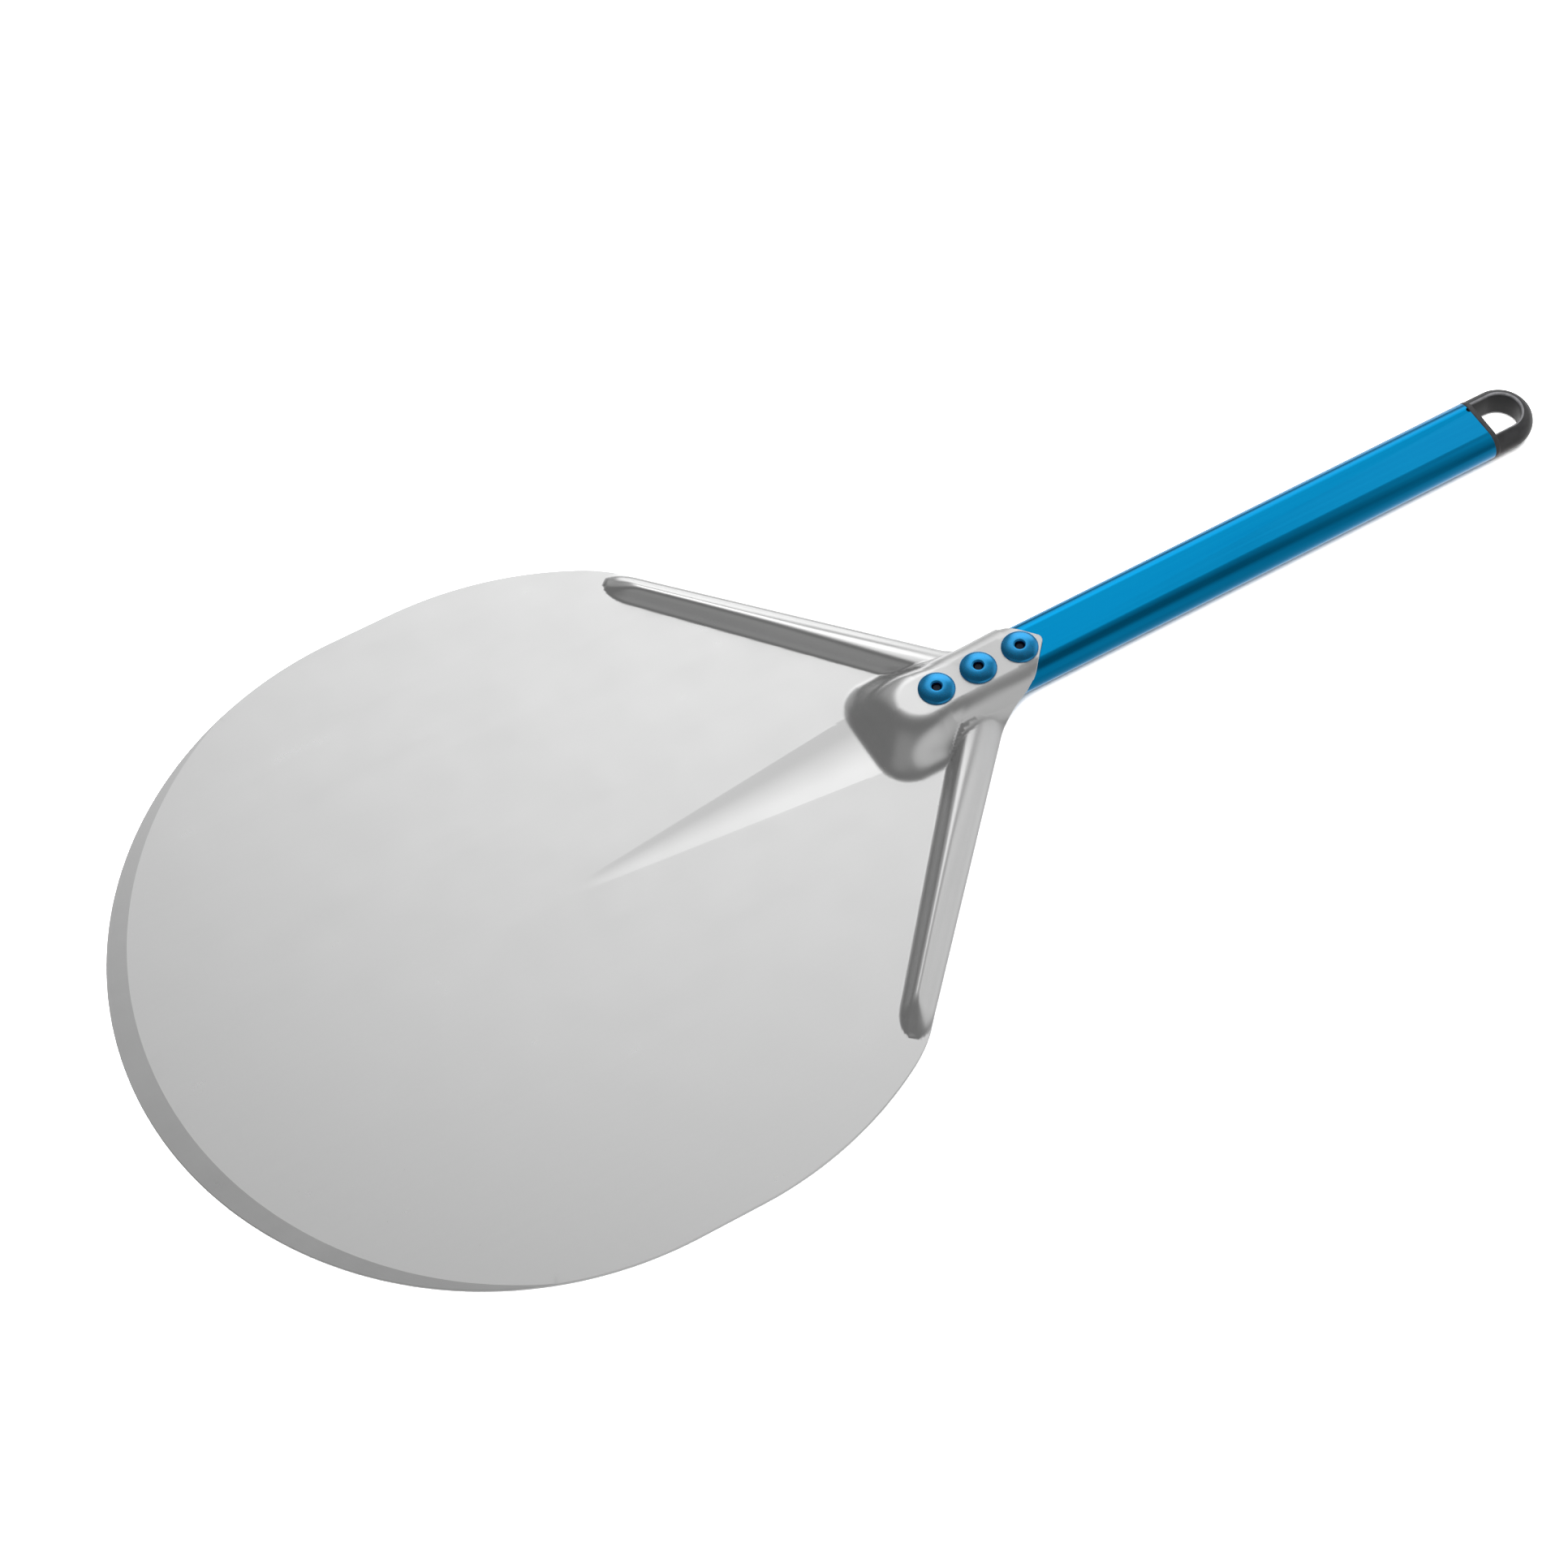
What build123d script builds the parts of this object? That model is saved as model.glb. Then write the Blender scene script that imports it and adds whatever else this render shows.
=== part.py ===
from build123d import *
import math
import os

os.makedirs("parts", exist_ok=True)

# Axes: origin on the blade's underside at the centre of the front arc,
# +X toward the handle, +Z up. Everything is symmetric about Y = 0 unless noted.

# Blade outline
HEAD_RADIUS = 165.0
HEAD_STRAIGHT = 27.7
REAR_SWEEP = 30.0
CORNER_RADIUS = 66.0
TAPER = 47.4
NECK_RADIUS = 30.0
SHEET = 1.5

# Milled crescent along the front edge
CRESCENT_OFFSET = 16.0
CRESCENT_RADIUS = 171.0
CRESCENT_SLOPE = 0.055
CRESCENT_END = -54.0

# Raised channel over the tube
HUB_FRONT = 172.0
HUB_HALF = 23.6
HUB_CORNER = 13.0
HUB_STRAIGHT_END = 194.0
HUB_REAR = 247.0
HUB_REAR_HALF = 18.0
HUB_FRONT_SLOPE = 1.55
HUB_SIDE_SLOPE = 1.75
HUB_TOP_CORNER = 6.0
HUB_SHOULDER = 6.0
TANG_TIP = 258.0
TANG_TIP_RADIUS = 3.0
TANG_CORNER_RADIUS = 14.0
FLAT_END = 236.0

# Side ribs, placed along the taper edge
RIB_START = -2.0
RIB_END = 146.0
RIB_OUTER_FOOT = 1.2
RIB_INNER_FOOT = 13.3
RIB_SPREAD = 0.044
RIB_TIP_RADIUS = 5.2
RIB_HEIGHT = 7.6
RIB_DRAFT = 30.0
RIB_ROUND = 1.6

# Shallow central crease in the top face, fading out toward the front
CREASE_FRONT = 32.0
CREASE_REAR = 176.0
CREASE_HALF = 16.5
CREASE_DEPTH = 0.75

# Handle tube, a flat-sided oval
TUBE_WIDTH = 30.0
TUBE_HEIGHT = 15.0
TUBE_WALL = 1.5
TUBE_FRONT = 193.5
TUBE_REAR = 480.8
NOTCH_RADIUS = 1.3
NOTCH_Y = 7.0

# End cap
COLLAR = 2.6
LOOP_CENTRE = 492.7
LOOP_BAND = 5.8
LOOP_INSET = 0.15
LOOP_RIM = 0.5
PLUG_LENGTH = 18.0
PLUG_GAP = 0.4
PLUG_RIBS = 3
PLUG_RIB_PITCH = 5.5
PLUG_RIB_WIDTH = 1.6

# Blind rivets
RIVET_FIRST = 205.5
RIVET_PITCH = 20.4
FLANGE_DIAMETER = 16.0
FLANGE_RIM = 0.7
FLANGE_HEIGHT = 2.3
SHANK_DIAMETER = 6.4
SHANK_HOLE = 6.6
BULB_DIAMETER = 9.6
BULB_BOTTOM = 6.8
STEM_DIAMETER = 3.8
STEM_RECESS = 1.5
SINK_DIAMETER = 4.8
SINK_DEPTH = 0.5
STEM_HEAD_DIAMETER = 6.0
STEM_HEAD_HEIGHT = 2.2

TUBE_MID = TUBE_HEIGHT / 2
TANG_HALF = TUBE_WIDTH / 2 + SHEET
TOP = TUBE_HEIGHT + SHEET


def oval_face(x, width, height):
    """A flat-sided oval standing across the X axis, centred on the tube's axis."""
    plane = Plane(origin=(x, 0, TUBE_MID), x_dir=(0, 1, 0), z_dir=(1, 0, 0))
    return plane * SlotOverall(width, height)


def oval_bar(x_from, x_to, width, height):
    return extrude(oval_face(x_from, width, height), amount=x_to - x_from)


def corner_end():
    """Where the corner arc meets the straight taper."""
    reach = HEAD_RADIUS - CORNER_RADIUS
    turn = math.radians(90 - REAR_SWEEP)
    cx = HEAD_STRAIGHT + reach * math.cos(turn)
    cy = reach * math.sin(turn)
    normal = math.radians(90 - TAPER)
    x = cx + CORNER_RADIUS * math.cos(normal)
    y = cy + CORNER_RADIUS * math.sin(normal)
    return (cx, cy), (x, y)


def blade_outline():
    """The whole plan outline, tang included."""
    corner, start = corner_end()
    normal = 90 - TAPER
    neck_y = TANG_HALF + NECK_RADIUS
    end_y = neck_y - NECK_RADIUS * math.sin(math.radians(normal))
    end_x = start[0] + (start[1] - end_y) / math.tan(math.radians(TAPER))
    neck_x = end_x + NECK_RADIUS * math.cos(math.radians(normal))
    edges = [
        CenterArc((0, 0), HEAD_RADIUS, 90, 90),
        Line((0, HEAD_RADIUS), (HEAD_STRAIGHT, HEAD_RADIUS)),
        CenterArc((HEAD_STRAIGHT, 0), HEAD_RADIUS, 90 - REAR_SWEEP, REAR_SWEEP),
        CenterArc(corner, CORNER_RADIUS, normal, TAPER - REAR_SWEEP),
        Line(start, (end_x, end_y)),
        CenterArc((neck_x, neck_y), NECK_RADIUS, 180 + normal, TAPER),
        Line((neck_x, TANG_HALF), (TANG_TIP, 0)),
        Line((TANG_TIP, 0), (-HEAD_RADIUS, 0)),
    ]
    half = make_face(edges)
    whole = half + mirror(half, about=Plane.XZ)
    corners = [v for v in whole.vertices() if abs(v.X - neck_x) < 0.01]
    whole = fillet(corners, TANG_CORNER_RADIUS)
    tip = [v for v in whole.vertices() if v.X > TANG_TIP - 0.01]
    return fillet(tip, TANG_TIP_RADIUS)


def hub_profile(z, front, half, corner, rear_half):
    """Plan section of the raised channel: rounded at the front, narrowing at the neck."""
    points = [
        (front, -half),
        (front, half),
        (HUB_STRAIGHT_END, half),
        (HUB_REAR, rear_half),
        (HUB_REAR, -rear_half),
        (HUB_STRAIGHT_END, -half),
    ]
    face = make_face(Polyline(*points, close=True))
    nose = [v for v in face.vertices() if v.X < front + 0.01]
    return Pos(0, 0, z) * fillet(nose, corner)


def hub_block():
    """Solid form of the channel, from the underside to its flat top."""
    front = HUB_FRONT - SHEET / HUB_FRONT_SLOPE
    half = HUB_HALF + SHEET / HUB_SIDE_SLOPE
    rear_half = HUB_REAR_HALF + SHEET / HUB_SIDE_SLOPE
    back = TOP / HUB_FRONT_SLOPE
    inset = TOP / HUB_SIDE_SLOPE
    foot = hub_profile(0, front, half, HUB_CORNER, rear_half)
    crown = hub_profile(TOP, front + back, half - inset, HUB_TOP_CORNER, rear_half - inset)
    block = loft([foot, crown], ruled=True)
    rim = [e for e in block.edges() if abs(e.center().Z - TOP) < 0.01 and e.center().X < HUB_REAR - 1]
    return fillet(rim, HUB_SHOULDER)


def rib_block(side, drop, slim):
    """One side rib, lying inside the taper edge; drop and slim give its hollow underside."""
    _, start = corner_end()
    run = math.radians(TAPER)
    along = Vector(math.cos(run), -side * math.sin(run))
    inward = Vector(-math.sin(run), -side * math.cos(run))
    origin = Vector(start[0], side * start[1])
    spare = SHEET * math.tan(math.radians(RIB_DRAFT)) - slim
    outer = RIB_OUTER_FOOT - spare
    near = RIB_INNER_FOOT + RIB_SPREAD * RIB_START + spare
    far = RIB_INNER_FOOT + RIB_SPREAD * RIB_END + spare
    tip = origin + along * (RIB_START - spare)
    end = origin + along * RIB_END
    corners = [tip + inward * outer, tip + inward * near, end + inward * far, end + inward * outer]
    if side < 0:
        corners.reverse()
    face = make_face(Polyline(*corners, close=True))
    nose = [v for v in face.vertices() if (Vector(*v) - tip).length < near + 1]
    base = fillet(nose, RIB_TIP_RADIUS + spare)
    height = RIB_HEIGHT + SHEET
    block = extrude(base, amount=height, dir=(0, 0, 1), taper=RIB_DRAFT)
    crest = [e for e in block.edges() if abs(e.center().Z - height) < 0.01]
    return Pos(0, 0, -drop) * fillet(crest, RIB_ROUND)


def crease_face(x, half, depth):
    """Cross-section of the central crease, standing a little proud of the sheet."""
    plane = Plane(origin=(x, 0, 0), x_dir=(0, 1, 0), z_dir=(1, 0, 0))
    arch = ThreePointArc((-half, SHEET), (0, SHEET - depth), (half, SHEET))
    lid = Polyline((half, SHEET), (half, SHEET + 1), (-half, SHEET + 1), (-half, SHEET))
    return plane * make_face([arch, lid])


def crease_block():
    small = crease_face(CREASE_FRONT, 1.0, 0.02)
    large = crease_face(CREASE_REAR, CREASE_HALF, CREASE_DEPTH)
    return loft([small, large], ruled=True)


def rivet_positions():
    return [RIVET_FIRST + RIVET_PITCH * i for i in range(3)]


def make_head():
    outline = blade_outline()
    flat = extrude(outline, amount=SHEET)
    flat -= Pos(FLAT_END + 100, 0, 0) * Box(200, 400, 10)

    # The crescent: everything outside this cone is milled away in front of its ends.
    low_radius = CRESCENT_RADIUS + SHEET / CRESCENT_SLOPE
    cone = Cone(low_radius, CRESCENT_RADIUS, SHEET, align=(Align.CENTER, Align.CENTER, Align.MIN))
    blank = Box(400, 400, SHEET, align=(Align.MAX, Align.CENTER, Align.MIN))
    flat -= Pos(CRESCENT_END, 0, 0) * blank - Pos(CRESCENT_OFFSET, 0, 0) * cone

    hub = hub_block()
    saddle = oval_bar(196, TANG_TIP + 1, 2 * TANG_HALF, TUBE_HEIGHT + 2 * SHEET)
    saddle -= Pos(230, 0, TUBE_MID - 20) * Box(120, 60, 40)
    ribs = [rib_block(side, 0, 0) for side in (1, -1)]
    body = flat - crease_block()
    body += [hub, saddle] + ribs
    body &= extrude(outline, amount=TOP)

    body -= Pos(0, 0, -SHEET) * hub
    body -= oval_bar(TUBE_FRONT - 1, TANG_TIP + 2, TUBE_WIDTH, TUBE_HEIGHT)
    for side in (1, -1):
        body -= rib_block(side, SHEET, 0.5)
    for x in rivet_positions():
        body -= Pos(x, 0, TOP) * Cylinder(SHANK_HOLE / 2, 8)
    return body


def make_tube():
    tube = oval_bar(TUBE_FRONT, TUBE_REAR, TUBE_WIDTH, TUBE_HEIGHT)
    tube -= oval_bar(TUBE_FRONT - 1, TUBE_REAR + 1, TUBE_WIDTH - 2 * TUBE_WALL, TUBE_HEIGHT - 2 * TUBE_WALL)
    for x in rivet_positions():
        tube -= Pos(x, 0, TUBE_HEIGHT) * Cylinder(SHANK_HOLE / 2, 6)
    # Half-round notch in the rear edge for the cap's snap lug
    tube -= Pos(TUBE_REAR, NOTCH_Y, TUBE_HEIGHT) * Cylinder(NOTCH_RADIUS, 6)
    return tube


def band_face():
    """Section of the loop's band: it follows the tube's rounded side, just inside the collar."""
    inner = TUBE_WIDTH / 2 - LOOP_BAND
    outer = TUBE_WIDTH / 2 - LOOP_INSET
    centre = TUBE_WIDTH / 2 - TUBE_MID
    rise = math.sqrt((outer - centre) ** 2 - (inner - centre) ** 2)
    low = (inner, TUBE_MID - rise)
    high = (inner, TUBE_MID + rise)
    face = make_face([ThreePointArc(low, (outer, TUBE_MID), high), Line(high, low)])
    return fillet(face.vertices(), LOOP_RIM)


def make_cap():
    inner_width = TUBE_WIDTH - 2 * TUBE_WALL
    inner_height = TUBE_HEIGHT - 2 * TUBE_WALL
    hole_front = TUBE_REAR + COLLAR
    cap = oval_bar(TUBE_REAR, hole_front, TUBE_WIDTH, TUBE_HEIGHT)
    section = band_face()
    across = Plane(origin=(hole_front, 0, 0), x_dir=(0, 1, 0), z_dir=(1, 0, 0))
    arm = extrude(across * section, amount=LOOP_CENTRE - hole_front)
    bend = revolve(Plane.XZ * section, axis=Axis.Z, revolution_arc=180)
    turn = -90 if bend.center().Y > 0 else 90
    cap += [arm, mirror(arm, about=Plane.XZ), Pos(LOOP_CENTRE, 0, 0) * Rot(0, 0, turn) * bend]

    plug_front = TUBE_REAR - PLUG_LENGTH
    cap += oval_bar(plug_front, TUBE_REAR, inner_width - 2 * PLUG_GAP, inner_height - 2 * PLUG_GAP)
    for i in range(PLUG_RIBS):
        x = plug_front + 1 + PLUG_RIB_PITCH * i
        cap += oval_bar(x, x + PLUG_RIB_WIDTH, inner_width, inner_height)
    cap -= oval_bar(plug_front - 1, TUBE_REAR - 2, inner_width - 6, inner_height - 5)
    lug = Cylinder(NOTCH_RADIUS - 0.1, 2.6)
    lug &= Pos(-10, 0, 0) * Box(20, 20, 20)
    cap += Pos(TUBE_REAR, NOTCH_Y, TUBE_HEIGHT - 1.7) * lug
    return cap


def make_rivet(x):
    """Set blind rivet: domed flange, shank through both walls, bulb under the tube's wall."""
    wall = TUBE_HEIGHT - TUBE_WALL
    rim = FLANGE_DIAMETER / 2
    bore = STEM_DIAMETER / 2
    sink = SINK_DIAMETER / 2
    crown = TOP + FLANGE_HEIGHT
    bulb = BULB_DIAMETER / 2
    shank = SHANK_DIAMETER / 2
    dome = Spline(
        (rim, TOP + FLANGE_RIM),
        (rim * 0.72, TOP + FLANGE_HEIGHT * 0.8),
        (sink + 0.5, crown),
        tangents=((-0.5, 1), (-1, 0.02)),
    )
    outline = [
        Polyline((sink + 0.5, crown), (sink, crown - 0.15), (bore, crown - SINK_DEPTH), (bore, BULB_BOTTOM)),
        Polyline((bore, BULB_BOTTOM), (shank, BULB_BOTTOM), (shank, BULB_BOTTOM + 1)),
        ThreePointArc((shank, BULB_BOTTOM + 1), (bulb, (BULB_BOTTOM + 1 + wall) / 2), (shank + 0.4, wall)),
        Polyline((shank + 0.4, wall), (shank, wall), (shank, TOP), (rim, TOP), (rim, TOP + FLANGE_RIM)),
        dome,
    ]
    section = Plane.XZ * make_face(outline)
    return Pos(x, 0, 0) * revolve(section, axis=Axis.Z)


def make_mandrel(x):
    """Snapped stem that stays in the rivet, with its head closing the blind end."""
    top = TOP + FLANGE_HEIGHT - STEM_RECESS
    stem = Cylinder(STEM_DIAMETER / 2, top - BULB_BOTTOM, align=(Align.CENTER, Align.CENTER, Align.MIN))
    snapped = [e for e in stem.edges() if e.center().Z > top - BULB_BOTTOM - 0.01]
    stem = chamfer(snapped, 0.4)
    head = Cylinder(STEM_HEAD_DIAMETER / 2, STEM_HEAD_HEIGHT, align=(Align.CENTER, Align.CENTER, Align.MAX))
    lower = [e for e in head.edges() if e.center().Z < -STEM_HEAD_HEIGHT + 0.01]
    return Pos(x, 0, BULB_BOTTOM) * (stem + fillet(lower, 1.0))


nodes = {
    "head": make_head(),
    "handle_tube": make_tube(),
    "end_cap": make_cap(),
}
for name, x in zip(("front", "middle", "rear"), rivet_positions()):
    nodes["rivet_" + name] = make_rivet(x)
    nodes["mandrel_" + name] = make_mandrel(x)

for name, shape in nodes.items():
    shape.label = name
    export_step(shape, "parts/" + name + ".step")
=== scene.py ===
import math

import bmesh
import bpy
import numpy as np
from mathutils import Matrix, Vector
from mathutils.geometry import delaunay_2d_cdt


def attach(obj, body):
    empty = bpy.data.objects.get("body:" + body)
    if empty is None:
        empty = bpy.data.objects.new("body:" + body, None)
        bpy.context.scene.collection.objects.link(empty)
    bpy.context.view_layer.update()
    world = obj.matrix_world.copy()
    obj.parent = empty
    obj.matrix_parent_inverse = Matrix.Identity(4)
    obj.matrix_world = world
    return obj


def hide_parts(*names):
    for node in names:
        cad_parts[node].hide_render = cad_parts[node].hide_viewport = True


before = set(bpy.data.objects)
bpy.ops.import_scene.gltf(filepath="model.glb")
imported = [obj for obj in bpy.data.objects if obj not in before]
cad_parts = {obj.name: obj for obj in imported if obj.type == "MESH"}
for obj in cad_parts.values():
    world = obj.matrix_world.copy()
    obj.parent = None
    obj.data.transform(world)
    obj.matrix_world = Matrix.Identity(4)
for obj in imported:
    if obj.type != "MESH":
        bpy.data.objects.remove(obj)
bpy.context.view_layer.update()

# Sizes in millimetres, as in the CAD part. Meshes are scaled to metres when they are made.
MM = 0.001

# Blade outline
HEAD_RADIUS = 165.0
HEAD_STRAIGHT = 27.7
REAR_SWEEP = 30.0
CORNER_RADIUS = 66.0
TAPER = 47.4
NECK_RADIUS = 30.0
SHEET = 1.5
EDGE_ROUND = 0.25
TANG_TIP = 258.0
TANG_TIP_RADIUS = 3.0
TANG_CORNER_RADIUS = 14.0

# Milled crescent. Its inner arc's two ends lie at CRESCENT_END along X.
CRESCENT_OFFSET = 16.0
CRESCENT_RADIUS = 171.0
CRESCENT_SLOPE = 0.055
CRESCENT_END = -54.0
CRESCENT_LIMIT = -20.0

# Channel over the tube: wide in front, narrower over the HUB_NARROWING behind the tube's front end.
# Corner, shoulder and foot say how far two faces blend into each other.
HUB_FRONT = 172.0
HUB_FRONT_SLOPE = 1.55
HUB_FRONT_HALF = 23.6
HUB_HALF = 18.5
HUB_NARROWING = 28.0
HUB_SIDE_SLOPE = 1.75
HUB_CORNER = 25.0
HUB_SHOULDER = 9.4
HUB_REAR_SHOULDER = 3.0
SHOULDER_START = 200.0
SHOULDER_END = 220.0
HUB_FRONT_FOOT = 5.0
HUB_FOOT = 8.0
HUB_FOOT_LENGTH = 10.0

# The sheet wrapped over the tube's round sides, and how it falls away beside and in front of it
SADDLE_EDGE_SLOPE = 6.0
SADDLE_FRONT_SLOPE = 1.2

# Behind the ribs the neck's edge rises to the tube's side
NECK_RISE_START = 222.0
NECK_RISE_END = 242.0
NECK_RISE = 6.0
NECK_CREST_RISE = 2.0

# Side ribs, given by how far their feet lie from the tapered edge and where along it
RIB_START = -7.0
RIB_OUTER_FOOT = 1.2
RIB_INNER_FOOT = 13.3
RIB_SPREAD = 0.044
RIB_HEIGHT = 8.2
RIB_SLOPE = 1.6
RIB_OUTER_SLOPE = 1.0
RIB_TIP = 13.0
RIB_TOE_SLOPE = 0.5
RIB_CREST = 6.5
RIB_ROUND = 5.0
RIB_TOP_ROUND = 4.0
RIB_TOE_ROUND = 2.5
RIB_FOOT = 2.4
RIB_SINK = 2.0
RIB_SINK_START = 30.0
RIB_SINK_END = 135.0

# How widely channel and ribs blend, on the blade and on the neck. The share limits it where they are low.
BLEND_START = 184.0
BLEND_END = 202.0
BLADE_BLEND = 3.0
NECK_BLEND = 10.0
BLADE_BLEND_SHARE = 1.3
NECK_BLEND_SHARE = 2.2

# Central crease
CREASE_FRONT = 32.0
CREASE_REAR = 176.0
CREASE_HALF = 16.5
CREASE_NARROW = 0.12
CREASE_DEPTH = 0.9
CREASE_FADE = 12.0
CREASE_BED = 0.72
CREASE_BED_CURVE = 0.893
CREASE_BED_HALF = 0.56

# Tube, cap and rivets
TUBE_WIDTH = 30.0
TUBE_HEIGHT = 15.0
TUBE_WALL = 1.5
TUBE_FRONT = 193.5
TUBE_REAR = 480.8
NOTCH_RADIUS = 1.3
NOTCH_Y = 7.0
COLLAR = 2.6
LOOP_CENTRE = 492.7
LOOP_BAND = 5.8
LOOP_INSET = 0.17
PLUG_LENGTH = 18.0
RIVET_FIRST = 205.5
RIVET_PITCH = 20.4
RIVET_HOLE = 3.3

# Where the blade's mesh is fine, and its spacings
HUB_ZONE_FRONT = 164.0
HUB_ZONE_HALF = 42.0
RIB_ZONE_START = -12.0
RIB_ZONE_END = 150.0
RIB_ZONE_WIDTH = 22.5
HUB_STEP = 0.9
RIB_STEP = 1.4
CREASE_STEP = 3.0
FLAT_STEP = 6.5
TANG_ZONE_FRONT = 240.0

# Main view, in metres and degrees
CAMERA_PLACE = (-0.2544, -0.7956, 1.3680)
CAMERA_AZIMUTH = -25.85
CAMERA_ELEVATION = 57.08
CAMERA_ROLL = -4.47
CAMERA_LENS = 89.3

TUBE_MID = TUBE_HEIGHT / 2
TANG_HALF = TUBE_WIDTH / 2 + SHEET
TOP = TUBE_HEIGHT + SHEET
RIVETS = [RIVET_FIRST + RIVET_PITCH * i for i in range(3)]
TAPER_COS = math.cos(math.radians(TAPER))
TAPER_SIN = math.sin(math.radians(TAPER))


# ---------------------------------------------------------------- plan outline


def arc(cx, cy, radius, start, end, step):
    """Points along an arc given in degrees, without its end point."""
    count = max(2, math.ceil(abs(math.radians(end - start)) * radius / step))
    a = np.radians(np.linspace(start, end, count + 1)[:-1])
    return np.c_[cx + radius * np.cos(a), cy + radius * np.sin(a)]


def run(p, q, step):
    """Points along a straight line, without its end point."""
    p, q = np.array(p, float), np.array(q, float)
    count = max(1, math.ceil(np.linalg.norm(q - p) / step))
    return p + (q - p) * np.linspace(0, 1, count + 1)[:-1, None]


def taper_start():
    """Where the corner arc meets the straight taper, and the corner arc's centre."""
    reach = HEAD_RADIUS - CORNER_RADIUS
    turn = math.radians(90 - REAR_SWEEP)
    cx = HEAD_STRAIGHT + reach * math.cos(turn)
    cy = reach * math.sin(turn)
    normal = math.radians(90 - TAPER)
    start = (cx + CORNER_RADIUS * math.cos(normal), cy + CORNER_RADIUS * math.sin(normal))
    return start, (cx, cy)


def outline():
    """The whole blade outline, counter-clockwise, starting at the tang's tip."""
    start, corner = taper_start()
    normal = 90 - TAPER
    neck_y = TANG_HALF + NECK_RADIUS
    end_y = neck_y - NECK_RADIUS * math.sin(math.radians(normal))
    end_x = start[0] + (start[1] - end_y) / math.tan(math.radians(TAPER))
    neck_x = end_x + NECK_RADIUS * math.cos(math.radians(normal))

    lean = math.degrees(math.atan2(TANG_HALF, TANG_TIP - neck_x))
    tip_x = TANG_TIP - TANG_TIP_RADIUS / math.sin(math.radians(lean))
    tip_end = np.radians(90 - lean)
    tip_point = (tip_x + TANG_TIP_RADIUS * np.cos(tip_end), TANG_TIP_RADIUS * np.sin(tip_end))
    # The rear corner's arc touches both the straight edge to the tip and the neck's arc.
    d = np.array([TANG_TIP - neck_x, -TANG_HALF])
    d /= np.linalg.norm(d)
    n_in = np.array([d[1], -d[0]])
    half = -NECK_RADIUS * d[1]
    reach = math.sqrt(half * half + 2 * NECK_RADIUS * TANG_CORNER_RADIUS * (1 + n_in[1])) - half
    corner_in = np.array([neck_x, TANG_HALF]) + d * reach
    tang_corner = corner_in + n_in * TANG_CORNER_RADIUS
    turn = math.degrees(math.atan2(neck_y - tang_corner[1], neck_x - tang_corner[0]))
    upper = np.vstack(
        [
            arc(tip_x, 0, TANG_TIP_RADIUS, 0, 90 - lean, 0.5),
            run(tip_point, corner_in, 0.9),
            arc(*tang_corner, TANG_CORNER_RADIUS, 90 - lean, turn, 0.5),
            arc(neck_x, neck_y, NECK_RADIUS, 180 + turn, 180 + normal, 0.9),
            run((end_x, end_y), start, 1.4),
            arc(*corner, CORNER_RADIUS, normal, 90 - REAR_SWEEP, 1.6),
            arc(HEAD_STRAIGHT, 0, HEAD_RADIUS, 90 - REAR_SWEEP, 90, 2.0),
            run((HEAD_STRAIGHT, HEAD_RADIUS), (0, HEAD_RADIUS), 2.0),
            arc(0, 0, HEAD_RADIUS, 90, 180, 2.0),
            [(-HEAD_RADIUS, 0)],
        ]
    )
    lower = upper[1:-1][::-1] * (1, -1)
    return np.vstack([upper, lower])


def edge_distance(points, loop):
    """Distance from each point to a closed polygon, and whether the point is inside it."""
    a = loop
    b = np.roll(loop, -1, axis=0)
    best = np.full(len(points), 1e9)
    inside = np.zeros(len(points), bool)
    x, y = points[:, 0], points[:, 1]
    for (ax, ay), (bx, by) in zip(a, b):
        dx, dy = bx - ax, by - ay
        t = np.clip(((x - ax) * dx + (y - ay) * dy) / (dx * dx + dy * dy), 0, 1)
        best = np.minimum(best, np.hypot(x - ax - t * dx, y - ay - t * dy))
        if ay != by:
            inside ^= ((ay > y) != (by > y)) & (x < (bx - ax) * (y - ay) / (by - ay) + ax)
    return best, inside


# ------------------------------------------------------------ pressed surface


def fraction(value, start, end):
    """0 before start, 1 after end, linear between."""
    return np.clip((value - start) / (end - start), 0, 1)


def ease(value, start, end):
    """Like fraction, but without corners."""
    t = fraction(value, start, end)
    return t * t * (3 - 2 * t)


def smin(a, b, k):
    """The smaller of two heights, blended where they differ by less than k."""
    h = np.clip(0.5 + 0.5 * (b - a) / k, 0, 1)
    return b * (1 - h) + a * h - k * h * (1 - h)


def smax(a, b, k):
    """The larger of two heights, blended in the same way."""
    return -smin(-a, -b, k)


def rib_place(x, y):
    """Distance along the tapered edge and inward from it, folded onto the +Y side."""
    start, _ = taper_start()
    px, py = x - start[0], np.abs(y) - start[1]
    return px * TAPER_COS - py * TAPER_SIN, -px * TAPER_SIN - py * TAPER_COS


def neck_arc():
    """Centre of the neck's arc and how far along the taper it starts."""
    start, _ = taper_start()
    neck_y = TANG_HALF + NECK_RADIUS
    reach = (start[1] - neck_y + NECK_RADIUS * TAPER_COS) / TAPER_SIN
    return (start[0] + reach * TAPER_COS + NECK_RADIUS * TAPER_SIN, neck_y), reach


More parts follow.
